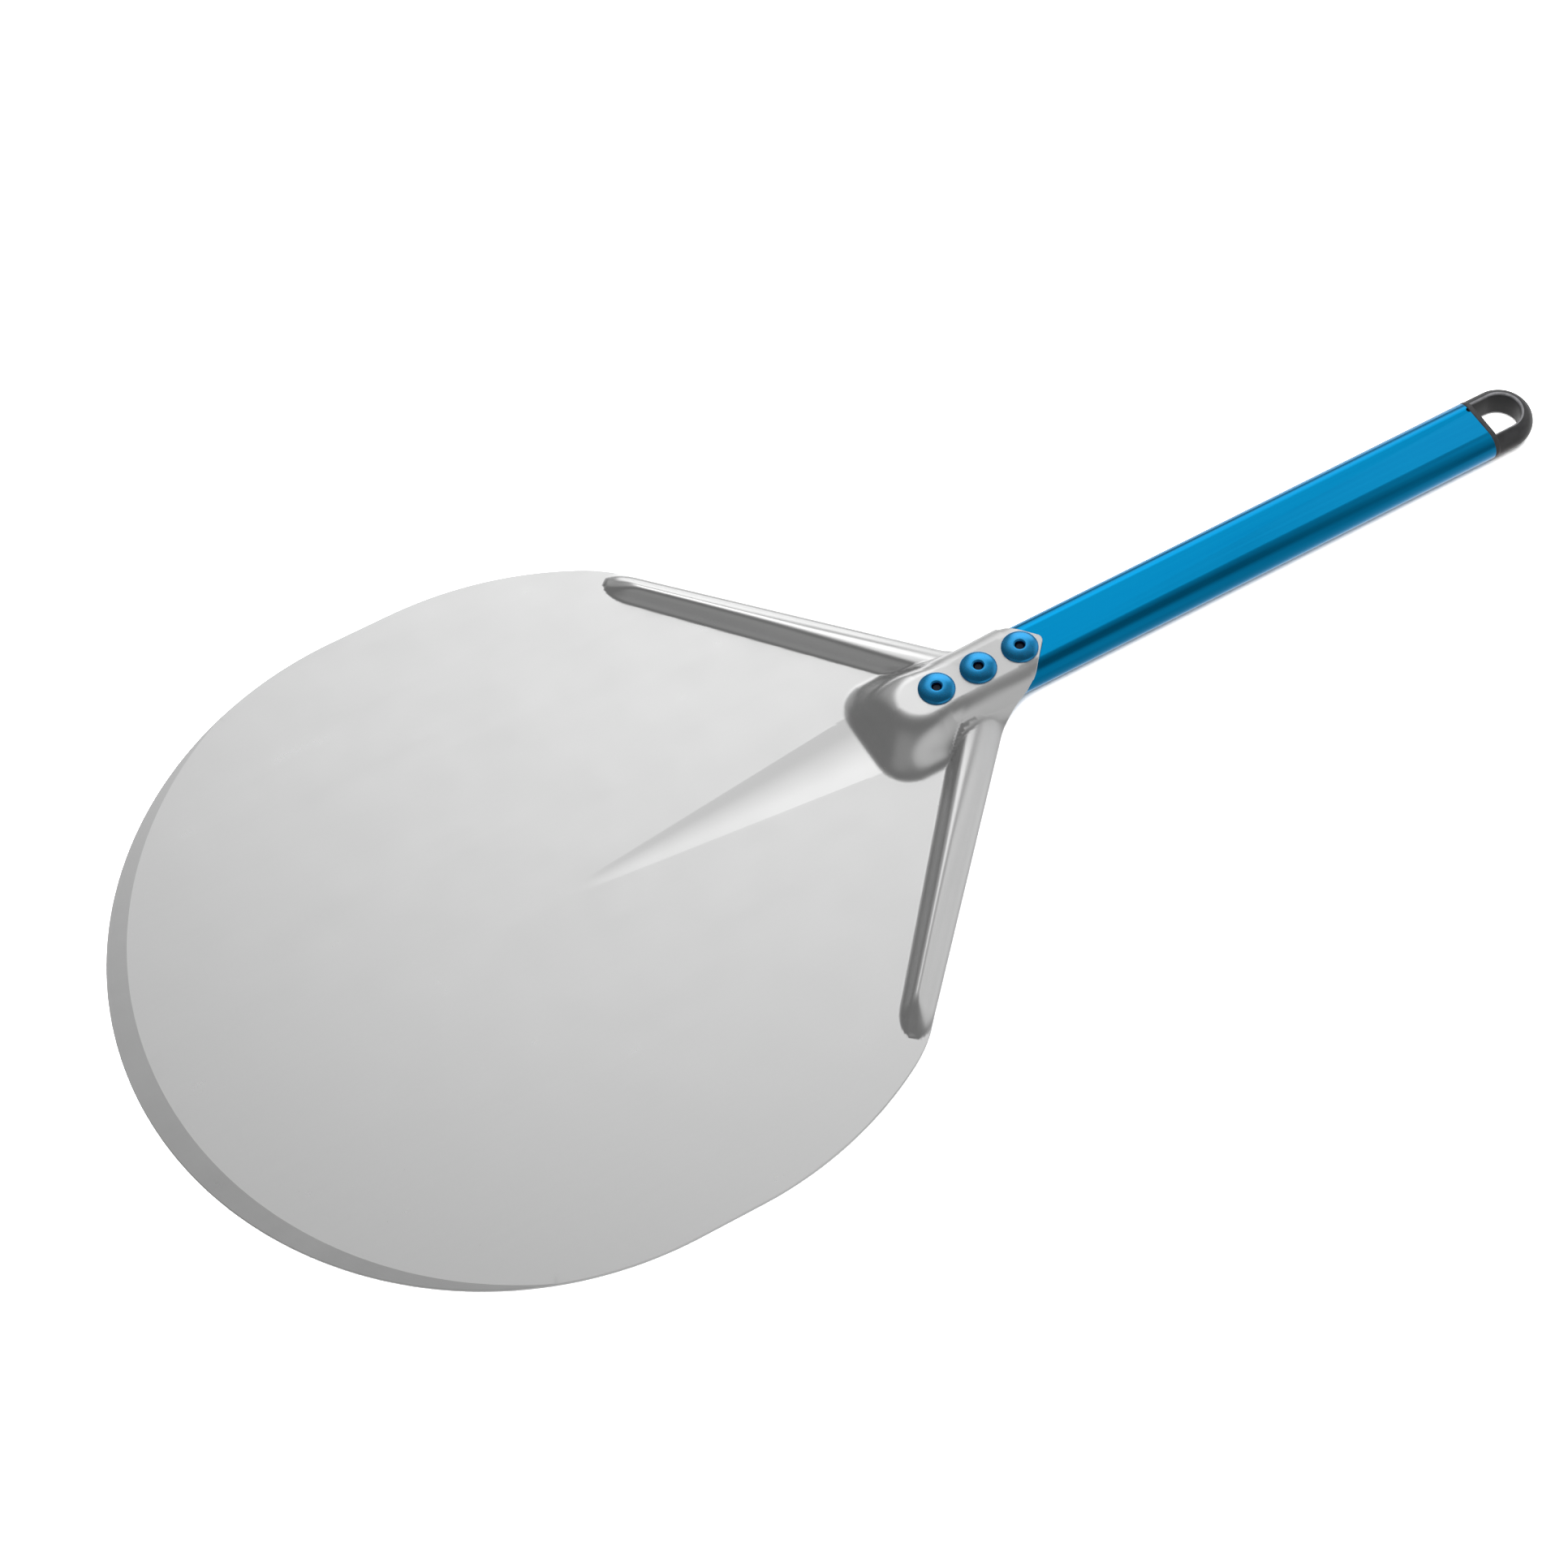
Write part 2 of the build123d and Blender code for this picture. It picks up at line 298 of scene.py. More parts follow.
def rib_height(x, y):
    """Both side ribs: round crested, wider toward the neck, where they run on along its edge."""
    along, inset = rib_place(x, y)
    tip = np.clip((RIB_START + RIB_TIP - along) / RIB_TIP, 0, 1)
    taper = np.sqrt(1 - tip**2)
    inner_foot = RIB_CREST + (RIB_INNER_FOOT + RIB_SPREAD * along - RIB_CREST) * taper
    outer_foot = RIB_CREST - (RIB_CREST - RIB_OUTER_FOOT) * taper
    (cx, cy), reach = neck_arc()
    edge = np.where(along < reach, inset, np.hypot(x - cx, np.abs(y) - cy) - NECK_RADIUS)
    rise = ease(x, NECK_RISE_START, NECK_RISE_END)
    inner = (inner_foot - inset) * RIB_SLOPE
    outer = (edge - outer_foot * (1 - rise)) * RIB_OUTER_SLOPE * (1 + rise) + NECK_RISE * rise
    crest = RIB_HEIGHT - RIB_SINK * ease(along, RIB_SINK_START, RIB_SINK_END) + NECK_CREST_RISE * rise
    toe = (along - RIB_START) * RIB_TOE_SLOPE
    ridge = smin(inner, outer, RIB_ROUND)
    body = smin(smin(ridge, crest, RIB_TOP_ROUND), toe, RIB_TOE_ROUND)
    nothing = -9
    body = np.where((along < RIB_START) | (x > cx), nothing, body)
    return smax(body, 0, RIB_FOOT)


def hub_height(x, y):
    """The raised channel, above the flat sheet's top face, and the sheet over the tube behind it."""
    narrowed = ease(x, TUBE_FRONT, TUBE_FRONT + HUB_NARROWING)
    half = HUB_FRONT_HALF + (HUB_HALF - HUB_FRONT_HALF) * narrowed
    front = (x - HUB_FRONT) * HUB_FRONT_SLOPE
    side = (half - np.abs(y)) * HUB_SIDE_SLOPE
    crown = TOP - SHEET
    rearward = fraction(x, SHOULDER_START, SHOULDER_END)
    shoulder = HUB_SHOULDER + (HUB_REAR_SHOULDER - HUB_SHOULDER) * rearward
    body = smin(smin(front, side, HUB_CORNER), crown, shoulder)

    saddle_y = np.clip(np.abs(y) - TUBE_WIDTH / 2 + TUBE_MID, 0, None)
    radius = TUBE_MID + SHEET
    saddle = TUBE_MID - SHEET + np.sqrt(np.clip(radius**2 - saddle_y**2, 0, None))
    beside = TUBE_MID - SHEET - (saddle_y - radius) * SADDLE_EDGE_SLOPE
    saddle = np.where(saddle_y < radius, saddle, beside)
    saddle = saddle - np.clip(TUBE_FRONT + 1 - x, 0, None) * SADDLE_FRONT_SLOPE
    body = np.maximum(body, saddle)

    foot = HUB_FRONT_FOOT + (HUB_FOOT - HUB_FRONT_FOOT) * fraction(x, HUB_FRONT, HUB_FRONT + HUB_FOOT_LENGTH)
    return smax(body, 0, foot)


def raised(x, y):
    """Height of everything that is pressed up from the sheet."""
    hub, rib = hub_height(x, y), rib_height(x, y)
    near = fraction(x, BLEND_START, BLEND_END)
    widest = BLADE_BLEND + (NECK_BLEND - BLADE_BLEND) * near
    share = BLADE_BLEND_SHARE + (NECK_BLEND_SHARE - BLADE_BLEND_SHARE) * near
    return smax(hub, rib, 1e-6 + np.minimum(widest, np.minimum(hub, rib) * share))


def crease_half(x):
    """Half the crease's width, and how far it has grown toward the channel."""
    grown = np.clip((x - CREASE_FRONT) / (CREASE_REAR - CREASE_FRONT), 1e-6, 1)
    return CREASE_HALF * (CREASE_NARROW + (1 - CREASE_NARROW) * grown), grown


def crease_drop(x, y):
    """Depth of the shallow central crease in the top face."""
    half, grown = crease_half(x)
    u = np.abs(y) / half
    bed = CREASE_BED - CREASE_BED_CURVE * u**2
    shape = np.where(u < CREASE_BED_HALF, bed, np.clip(1 - u, 0, None))
    return CREASE_DEPTH * grown * shape * fraction(x, CREASE_FRONT, CREASE_FRONT + CREASE_FADE)


def crescent_drop(x, y):
    """Depth milled away in front of the crescent's inner arc."""
    beyond = np.hypot(x - CRESCENT_OFFSET, y) - CRESCENT_RADIUS
    return np.where(x < CRESCENT_LIMIT, np.clip(beyond, 0, None) * CRESCENT_SLOPE, 0)


def pressed_height(x, y):
    """The top face as pressed, before the crease and the crescent."""
    return SHEET + raised(x, y)


def top_height(x, y):
    """The finished top face. The crease stops where the channel's foot starts."""
    lift = raised(x, y)
    return SHEET + lift - crease_drop(x, y) * (lift < 0.4) - crescent_drop(x, y)


def surface_normal(height, x, y, step=0.02):
    """Unit normals of a height function."""
    gx = (height(x + step, y) - height(x - step, y)) / (2 * step)
    gy = (height(x, y + step) - height(x, y - step)) / (2 * step)
    n = np.c_[-gx, -gy, np.ones(len(x))]
    return n / np.linalg.norm(n, axis=1)[:, None]


# ------------------------------------------------------------------ mesh tools


def mesh_object(name, verts, faces, material, sharp_angle=None, sharp_edges=None):
    """A shown object from points in millimetres."""
    mesh = bpy.data.meshes.new(name)
    corners = [tuple(v) for v in np.asarray(verts) * MM]
    mesh.from_pydata(corners, [], [tuple(int(i) for i in f) for f in faces])
    mesh.validate()
    mesh.materials.append(material)
    bm = bmesh.new()
    bm.from_mesh(mesh)
    bmesh.ops.recalc_face_normals(bm, faces=bm.faces)
    for f in bm.faces:
        f.smooth = True
    limit = math.radians(sharp_angle) if sharp_angle else None
    for e in bm.edges:
        if limit and len(e.link_faces) == 2 and e.calc_face_angle(0) > limit:
            e.smooth = False
        if sharp_edges and frozenset(v.index for v in e.verts) in sharp_edges:
            e.smooth = False
    bm.to_mesh(mesh)
    bm.free()
    obj = bpy.data.objects.new(name, mesh)
    bpy.context.scene.collection.objects.link(obj)
    return obj


def place(obj, node):
    """Rides the peel's one body and takes the CAD node's place, if a node is given."""
    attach(obj, "root")
    if node:
        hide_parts(node)
    return obj


def oval_ring(width, height, arc_steps=28, lip=0.12):
    """A flat-sided oval as (y, z) points; short spans beside each arc keep the flats truly flat."""
    r = height / 2
    flat = width / 2 - r
    right = [(flat + r * math.sin(a), -r * math.cos(a)) for a in np.linspace(0, math.pi, arc_steps + 1)]
    left = [(-y, -z) for y, z in right]
    lip = min(lip, flat * 0.5)
    ring = right + [(flat - lip, r), (-flat + lip, r)] + left + [(-flat + lip, -r), (flat - lip, -r)]
    return np.array(ring)


def oval_stack(stations, width, height, closed):
    """Rings of ovals at (x, inset) stations, joined by quads; closed joins the last to the first."""
    verts, faces = [], []
    for x, inset in stations:
        ring = oval_ring(width - 2 * inset, height - 2 * inset)
        verts += [(x, y, z + TUBE_MID) for y, z in ring]
    total = len(stations)
    count = len(verts) // total
    for i in range(total if closed else total - 1):
        a, b = i * count, ((i + 1) % total) * count
        faces += [(a + j, a + (j + 1) % count, b + (j + 1) % count, b + j) for j in range(count)]
    if not closed:
        faces.append(tuple(range(count))[::-1])
        faces.append(tuple(range((total - 1) * count, total * count)))
    return verts, faces


def lathe(profile, cx, segments=96):
    """A closed (r, z) profile turned about a vertical axis."""
    verts, faces = [], []
    n = len(profile)
    for i in range(segments):
        a = 2 * math.pi * i / segments
        verts += [(cx + r * math.cos(a), r * math.sin(a), z) for r, z in profile]
    for i in range(segments):
        a, b = i * n, ((i + 1) % segments) * n
        faces += [(a + j, b + j, b + (j + 1) % n, a + (j + 1) % n) for j in range(n)]
    return verts, faces


def cutter(name, x, y, radius, low, high, segments=48):
    """An upright cylinder to cut with."""
    turns = np.linspace(0, 2 * math.pi, segments, endpoint=False)
    ring = [(x + radius * math.cos(a), y + radius * math.sin(a)) for a in turns]
    verts = [(px, py, low) for px, py in ring] + [(px, py, high) for px, py in ring]
    faces = [(i, (i + 1) % segments, segments + (i + 1) % segments, segments + i) for i in range(segments)]
    faces += [tuple(range(segments))[::-1], tuple(range(segments, 2 * segments))]
    mesh = bpy.data.meshes.new(name)
    mesh.from_pydata([tuple(c * MM for c in v) for v in verts], [], faces)
    obj = bpy.data.objects.new(name, mesh)
    bpy.context.scene.collection.objects.link(obj)
    return obj


def cut(obj, cutters):
    """Takes the cutters out of the object's mesh for good, and removes them."""
    for c in cutters:
        m = obj.modifiers.new("cut", "BOOLEAN")
        m.operation = "DIFFERENCE"
        m.solver = "EXACT"
        m.object = c
    bpy.context.view_layer.update()
    graph = bpy.context.evaluated_depsgraph_get()
    mesh = bpy.data.meshes.new_from_object(obj.evaluated_get(graph))
    obj.modifiers.clear()
    obj.data = mesh
    for c in cutters:
        bpy.data.objects.remove(c)


# ------------------------------------------------------------------- materials


# Pitch of the milled crescent's turning marks, in metres
RING_PITCH = 0.0007


class Shade:
    """Small helper around one material's node tree."""

    def __init__(self, name):
        self.material = bpy.data.materials.new(name)
        self.material.use_nodes = True
        self.tree = self.material.node_tree
        self.bsdf = self.tree.nodes["Principled BSDF"]
        self.coords = self.tree.nodes.new("ShaderNodeTexCoord")

    def node(self, kind, **values):
        n = self.tree.nodes.new(kind)
        for key, value in values.items():
            setattr(n, key, value)
        return n

    def link(self, a, b):
        self.tree.links.new(a, b)

    def set(self, **values):
        for key, value in values.items():
            self.bsdf.inputs[key.replace("_", " ")].default_value = value

    def noise(self, scale, detail=3.0, roughness=0.55, stretch=(1, 1, 1)):
        mapping = self.node("ShaderNodeMapping")
        mapping.inputs["Scale"].default_value = stretch
        self.link(self.coords.outputs["Object"], mapping.inputs["Vector"])
        n = self.node("ShaderNodeTexNoise")
        n.inputs["Scale"].default_value = scale
        n.inputs["Detail"].default_value = detail
        n.inputs["Roughness"].default_value = roughness
        self.link(mapping.outputs["Vector"], n.inputs["Vector"])
        return n.outputs["Fac"]

    def spread(self, source, low, high, start=0.3, end=0.7):
        n = self.node("ShaderNodeMapRange")
        n.inputs["From Min"].default_value = start
        n.inputs["From Max"].default_value = end
        n.inputs["To Min"].default_value = low
        n.inputs["To Max"].default_value = high
        self.link(source, n.inputs["Value"])
        return n.outputs["Result"]

    def blend(self, source, dark, light):
        n = self.node("ShaderNodeMix", data_type="RGBA")
        n.inputs["A"].default_value = (*dark, 1)
        n.inputs["B"].default_value = (*light, 1)
        self.link(source, n.inputs["Factor"])
        return n.outputs["Result"]

    def add(self, a, b, weight):
        n = self.node("ShaderNodeMath", operation="MULTIPLY_ADD")
        n.inputs[1].default_value = weight
        self.link(b, n.inputs[0])
        self.link(a, n.inputs[2])
        return n.outputs[0]

    def bump(self, source, strength, distance):
        n = self.node("ShaderNodeBump")
        n.inputs["Strength"].default_value = strength
        n.inputs["Distance"].default_value = distance
        self.link(source, n.inputs["Height"])
        self.link(n.outputs["Normal"], self.bsdf.inputs["Normal"])


def blade_metal(name, dark, light, rings):
    """Matt anodised sheet: a fine grain, faint cloudiness, faint rolling streaks or turning rings."""
    s = Shade(name)
    s.set(Metallic=1.0)
    cloud = s.noise(38, 4)
    streak = s.noise(160, 2, 0.5, (0.06, 1, 1))
    grain = s.noise(900, 2)
    mixed = s.add(cloud, streak, 0.45)
    mixed = s.add(mixed, grain, 0.25)
    fac = s.spread(mixed, 0, 1, 0.55, 1.15)
    s.link(s.blend(fac, dark, light), s.bsdf.inputs["Base Color"])
    # Stretched metal is more matt: the neck, from the tube's front end on.
    axes = s.node("ShaderNodeSeparateXYZ")
    s.link(s.coords.outputs["Object"], axes.inputs[0])
    drawn = s.spread(axes.outputs["X"], 0, 1, 0.196, 0.225)
    s.link(s.add(s.spread(mixed, 0.27, 0.33, 0.55, 1.15), drawn, 0.14), s.bsdf.inputs["Roughness"])
    if rings:
        centre = s.node("ShaderNodeVectorMath", operation="SUBTRACT")
        centre.inputs[1].default_value = (CRESCENT_OFFSET * MM, 0, 0)
        s.link(s.coords.outputs["Object"], centre.inputs[0])
        reach = s.node("ShaderNodeVectorMath", operation="LENGTH")
        s.link(centre.outputs["Vector"], reach.inputs[0])
        wave = s.node("ShaderNodeMath", operation="SINE")
        times = s.node("ShaderNodeMath", operation="MULTIPLY")
        times.inputs[1].default_value = 2 * math.pi / RING_PITCH
        s.link(reach.outputs["Value"], times.inputs[0])
        s.link(times.outputs[0], wave.inputs[0])
        s.bump(s.add(grain, wave.outputs[0], 0.35), 0.10, 0.00003)
    else:
        s.bump(grain, 0.10, 0.00004)
    return s.material


def blue_anodised():
    """Drawn tube: fine lines along its length under a clear anodic layer."""
    s = Shade("blue_anodised")
    s.set(Metallic=1.0, Coat_Weight=0.03, Coat_Roughness=0.12, Coat_IOR=1.5)
    lines = s.noise(420, 3, 0.6, (0.012, 1, 1))
    cloud = s.noise(30, 3)
    mixed = s.add(lines, cloud, 0.5)
    fac = s.spread(mixed, 0, 1, 0.55, 0.95)
    s.link(s.blend(fac, (0.0004, 0.256, 0.55), (0.0006, 0.288, 0.60)), s.bsdf.inputs["Base Color"])
    s.link(s.spread(mixed, 0.20, 0.27, 0.55, 0.95), s.bsdf.inputs["Roughness"])
    s.bump(lines, 0.06, 0.00002)
    return s.material


def blue_rivet():
    """Lacquered rivet flange."""
    s = Shade("blue_rivet")
    s.set(Metallic=1.0, Coat_Weight=0.6, Coat_Roughness=0.08, Coat_IOR=1.6)
    cloud = s.noise(420, 3)
    speck = s.noise(2600, 2)
    fac = s.spread(cloud, 0, 1)
    s.link(s.blend(fac, (0.0003, 0.29, 0.64), (0.0005, 0.32, 0.70)), s.bsdf.inputs["Base Color"])
    s.link(s.spread(cloud, 0.22, 0.30), s.bsdf.inputs["Roughness"])
    s.bump(speck, 0.12, 0.00003)
    return s.material


def bare_metal(name, tone, low, high):
    """Cut or drawn metal that was never coloured."""
    s = Shade(name)
    s.set(Metallic=1.0)
    marks = s.noise(1800, 3)
    fac = s.spread(marks, 0, 1)
    s.link(s.blend(fac, [c * 0.8 for c in tone], tone), s.bsdf.inputs["Base Color"])
    s.link(s.spread(marks, low, high), s.bsdf.inputs["Roughness"])
    s.bump(marks, 0.2, 0.00004)
    return s.material


def black_plastic(name, dark, light):
    """Moulded cap: satin black with a fine spark-eroded texture."""
    s = Shade(name)
    s.set(Specular_IOR_Level=0.5)
    cloud = s.noise(260, 4)
    grain = s.noise(2400, 3)
    fac = s.spread(s.add(cloud, grain, 0.4), 0, 1, 0.5, 0.9)
    s.link(s.blend(fac, (dark, dark, dark * 1.05), (light, light, light * 1.05)), s.bsdf.inputs["Base Color"])
    s.link(s.spread(cloud, 0.34, 0.46), s.bsdf.inputs["Roughness"])
    s.bump(grain, 0.25, 0.00005)
    return s.material


METAL = blade_metal("blade_metal", (0.835, 0.837, 0.835), (0.875, 0.877, 0.874), rings=False)
MILLED = blade_metal("milled_edge", (0.79, 0.792, 0.79), (0.83, 0.832, 0.83), rings=True)
BLUE = blue_anodised()
RIVET_BLUE = blue_rivet()
RAW = bare_metal("cut_aluminium", (0.82, 0.82, 0.81), 0.25, 0.4)
# Near-black bluish steel for the mandrel ends: painted shade of the rivets' deep bores.
SHADED_STEEL = bare_metal("rivet_steel", (0.035, 0.042, 0.06), 0.4, 0.55)
PLASTIC = black_plastic("black_plastic", 0.007, 0.014)
# Lighter black plastic for the loop's inner rim: a painted highlight line along its rounded edge.
SHEEN_PLASTIC = black_plastic("painted_sheen_rim", 0.05, 0.09)


# ------------------------------------------------------------------------ head


def grid(x0, x1, y0, y1, step):
    """Points in rows and columns."""
    xs = np.arange(x0, x1 + step / 2, step)
    ys = np.arange(y0, y1 + step / 2, step)
    gx, gy = np.meshgrid(xs, ys)
    return np.c_[gx.ravel(), gy.ravel()]


def in_hub(p):
    return (p[:, 0] > HUB_ZONE_FRONT) & (np.abs(p[:, 1]) < HUB_ZONE_HALF)


def in_rib(p):
    along, inset = rib_place(p[:, 0], p[:, 1])
    beside = (along > RIB_ZONE_START) & (along < RIB_ZONE_END)
    return beside & (inset > 0) & (inset < RIB_ZONE_WIDTH)


def in_crease(p):
    along = (p[:, 0] > CREASE_FRONT - 6) & (p[:, 0] <= HUB_ZONE_FRONT)
    return along & (np.abs(p[:, 1]) < CREASE_HALF + 4)


def rib_points():
    """Rows along the +Y rib, closest together at its outer foot."""
    start, _ = taper_start()
    rows = np.r_[0.85, 1.2, 1.6, 2.1, 2.7, np.arange(3.4, 21.8, 0.7)]
    steps = np.arange(RIB_ZONE_START + 1, RIB_ZONE_END, RIB_STEP)
    along, inset = (g.ravel() for g in np.meshgrid(steps, rows))
    x = start[0] + along * TAPER_COS - inset * TAPER_SIN
    y = start[1] - along * TAPER_SIN - inset * TAPER_COS
    return np.c_[x, y]


def tang_points():
    """Over the tang's rounded sides the rows follow the curve, not the plan."""
    radius = TUBE_MID + SHEET
    turns = np.radians(np.arange(0, 90, 7.5))
    rows = [TUBE_WIDTH / 2 - TUBE_MID + radius * math.sin(t) for t in turns]
    rows = [0, 1.5, 3, 4.5, 6, *rows]
    rows = sorted({round(s * r, 4) for r in rows for s in (1, -1)})
    return np.array([(x, y) for x in np.arange(TANG_ZONE_FRONT + 0.8, TANG_TIP, HUB_STEP) for y in rows])


def crease_points():
    points = []
    for x in np.arange(CREASE_FRONT - 5, HUB_ZONE_FRONT, CREASE_STEP):
        half, _ = crease_half(x)
        points += [(x, half * u) for u in np.linspace(-1.2, 1.2, 25)]
    return np.array(points)


def plan_points(loop):
    """Inner points of the blade's triangulation, close together where the sheet is pressed."""
    ribs = rib_points()
    hub_half = HUB_ZONE_HALF - 0.7
    hub = grid(HUB_ZONE_FRONT + 0.6, TANG_ZONE_FRONT, -hub_half, hub_half, HUB_STEP)
    crease = crease_points()
    rest = grid(-160, 235, -162, 162, FLAT_STEP)
    busy = in_hub(rest) | in_rib(rest) | in_crease(rest)

    # Each set with how far it stays from the outline
    sets = [(p[~in_hub(p)], 0.5) for p in (ribs, ribs * (1, -1))]
    sets.append((hub[in_hub(hub)], 0.6))
    sets.append((tang_points(), 0.25))
    sets.append((crease[in_crease(crease)], 0.6))
    sets.append((rest[~busy], 1.6))

    kept = []
    for p, clear in sets:
        away, inside = edge_distance(p, loop)
        ok = inside & (away > clear)
        for x in RIVETS:
            ok &= np.hypot(p[:, 0] - x, p[:, 1]) > RIVET_HOLE + 0.4
        ring = np.hypot(p[:, 0] - CRESCENT_OFFSET, p[:, 1])
        ok &= (np.abs(ring - CRESCENT_RADIUS) > 0.9) | (p[:, 0] > -40)
        kept.append(p[ok])
    return np.vstack(kept)


def face_loop():
    """The outline drawn in by the edge's rounding, which is narrower in plan where the sheet is steep."""
    loop = outline()
    after = np.roll(loop, -1, axis=0) - loop
    before = loop - np.roll(loop, 1, axis=0)
    after /= np.linalg.norm(after, axis=1)[:, None]
    before /= np.linalg.norm(before, axis=1)[:, None]
    tangent = after + before
    tangent /= np.linalg.norm(tangent, axis=1)[:, None]
    outward = np.c_[tangent[:, 1], -tangent[:, 0]]
    inner = loop - outward * EDGE_ROUND
    level = surface_normal(top_height, inner[:, 0], inner[:, 1])[:, 2]
    return loop - outward * ((EDGE_ROUND + 0.002) * np.clip(level, 0.06, 1))[:, None]


def plan_mesh():
    """The blade's plan as points and counter-clockwise triangles, with open rivet holes."""
    loop = face_loop()
    points = [loop]
    edges = [(i, (i + 1) % len(loop)) for i in range(len(loop))]
    count = len(loop)
    for x in RIVETS:
        ring = arc(x, 0, RIVET_HOLE, 0, 360, 0.7)
        edges += [(count + i, count + (i + 1) % len(ring)) for i in range(len(ring))]
        points.append(ring)
        count += len(ring)
    # The crescent's inner arc is an edge of the mesh, so that it stays crisp.
    span = math.degrees(math.acos((CRESCENT_END - CRESCENT_OFFSET) / CRESCENT_RADIUS))
    rim = arc(CRESCENT_OFFSET, 0, CRESCENT_RADIUS, span, 360 - span, 2.0)
    _, rim_inside = edge_distance(rim, loop)
    rim = rim[rim_inside]
    edges += [(count + i, count + i + 1) for i in range(len(rim) - 1)]
    points.append(rim)
    points.append(plan_points(loop))

    out = delaunay_2d_cdt([Vector(p) for p in np.vstack(points)], edges, [], 1, 1e-4)
    flat = np.array([tuple(v) for v in out[0]])
    tris = np.array([f for f in out[2] if len(f) == 3])
    centre = flat[tris].mean(axis=1)
    keep = np.ones(len(tris), bool)
    for x in RIVETS:
        keep &= np.hypot(centre[:, 0] - x, centre[:, 1]) > RIVET_HOLE - 0.05
    tris = tris[keep]
    e1 = flat[tris[:, 1]] - flat[tris[:, 0]]
    e2 = flat[tris[:, 2]] - flat[tris[:, 0]]
    area = e1[:, 0] * e2[:, 1] - e1[:, 1] * e2[:, 0]
    tris[area < 0] = tris[area < 0][:, ::-1]
    return flat, tris[np.abs(area) > 1e-7]


def make_head():
    """The pressed sheet: a top face, an underside one thickness below it, and rounded cut edges."""
    flat, tris = plan_mesh()
    x, y = flat[:, 0], flat[:, 1]
    n = len(flat)
    top = np.c_[x, y, top_height(x, y)]
    normal = surface_normal(pressed_height, x, y)
    under = np.c_[x, y, pressed_height(x, y)] - normal * SHEET
    under[:, 2] = np.clip(under[:, 2], 0, None)

    directed = {(t[i], t[(i + 1) % 3]): True for t in tris for i in range(3)}
    border = {a: b for a, b in directed if (b, a) not in directed}
    previous = {b: a for a, b in border.items()}
    verts = [*top, *under]
    upper, lower = {}, {}
    for a, b in border.items():
        along = top[b] - top[previous[a]]
        along /= np.linalg.norm(along)
        out = np.cross(along, normal[a])
        out /= np.linalg.norm(out)
        e = min(EDGE_ROUND, np.linalg.norm(top[a] - under[a]) * 0.35)
        upper[a] = len(verts)
        verts.append(top[a] + out * e - normal[a] * e)
        lower[a] = len(verts)
        verts.append(under[a] + out * e + normal[a] * e)
    faces = [tuple(t) for t in tris] + [tuple(n + i for i in t[::-1]) for t in tris]
    sharp = []
    for a, b in border.items():
        faces.append((b, a, upper[a], upper[b]))
        faces.append((upper[b], upper[a], lower[a], lower[b]))
        faces.append((lower[b], lower[a], n + a, n + b))
        sharp += [(a, b), (upper[a], upper[b]), (lower[a], lower[b]), (n + a, n + b)]
    on_rim = (np.abs(np.hypot(x - CRESCENT_OFFSET, y) - CRESCENT_RADIUS) < 0.02) & (x < -50)
    sharp += [(a, b) for a, b in directed if on_rim[a] and on_rim[b]]
    sharp = {frozenset((int(a), int(b))) for a, b in sharp}

    head = mesh_object("head_sheet", np.array(verts), faces, METAL, sharp_edges=sharp)
    head.data.materials.append(MILLED)
    for p in head.data.polygons:
        c = p.center / MM
        ring = math.hypot(c.x - CRESCENT_OFFSET, c.y)
        if ring > CRESCENT_RADIUS and c.x < -45 and p.normal.z > 0.9:
            p.material_index = 1
    smooth_by_formula(head, n)
    return place(head, "head")


def smooth_by_formula(head, count):
    """Corner normals of both faces of the sheet, taken from the pressed surface itself.

    Each is read slightly inside its own face, so that faces on two sides of a crisp edge differ.
    """
    mesh = head.data
    corners = np.empty(len(mesh.loops) * 3, np.float32)
    mesh.corner_normals.foreach_get("vector", corners)
    corners = corners.reshape(-1, 3)
    co = np.empty(len(mesh.vertices) * 3, np.float32)
    mesh.vertices.foreach_get("co", co)
    co = co.reshape(-1, 3) / MM
    for side, height, first in ((1, top_height, 0), (-1, pressed_height, count)):
        loops, places = [], []
        for p in mesh.polygons:
            ids = [mesh.loops[i].vertex_index for i in p.loop_indices]
            if min(ids) < first or max(ids) >= first + count:
                continue
            mid = co[ids].mean(axis=0)
            for i, v in zip(p.loop_indices, ids):
                loops.append(i)
                places.append(co[v - first] + (mid - co[v]) * 0.04)
        places = np.array(places, float)
        corners[loops] = side * surface_normal(height, places[:, 0], places[:, 1])
    mesh.normals_split_custom_set([tuple(float(c) for c in v) for v in corners])


# ------------------------------------------------------------------------ tube


def make_tube():
    """The open oval tube, with a rivet hole under each flange and a small notch at its rear end."""
    r = 0.22
    stations = [
        (TUBE_FRONT, r),
        (TUBE_FRONT + r, 0),
        (TUBE_REAR - r, 0),
        (TUBE_REAR - 0.3 * r, 0.3 * r),
        (TUBE_REAR, r),
        (TUBE_REAR, TUBE_WALL - r),
        (TUBE_REAR - r, TUBE_WALL),
        (TUBE_FRONT + r, TUBE_WALL),
        (TUBE_FRONT, TUBE_WALL - r),
    ]
    verts, faces = oval_stack(stations, TUBE_WIDTH, TUBE_HEIGHT, True)
    tube = mesh_object("tube_body", verts, faces, BLUE, sharp_angle=30)
    tube.data.materials.append(RAW)
    for p in tube.data.polygons:
        if abs(p.normal.x) > 0.9:
            p.material_index = 1
    cutters = [cutter("hole", x, 0, RIVET_HOLE, 11, 17) for x in RIVETS]
    cutters.append(cutter("notch", TUBE_REAR, NOTCH_Y, NOTCH_RADIUS, 11, 17, 32))
    cut(tube, cutters)
    return place(tube, "handle_tube")


# --------------------------------------------------------------------- end cap


# Points on the round part of the loop's section. The rim is the three spans after them; they get the lighter
# plastic, a painted highlight line.
ROUND_POINTS = 22


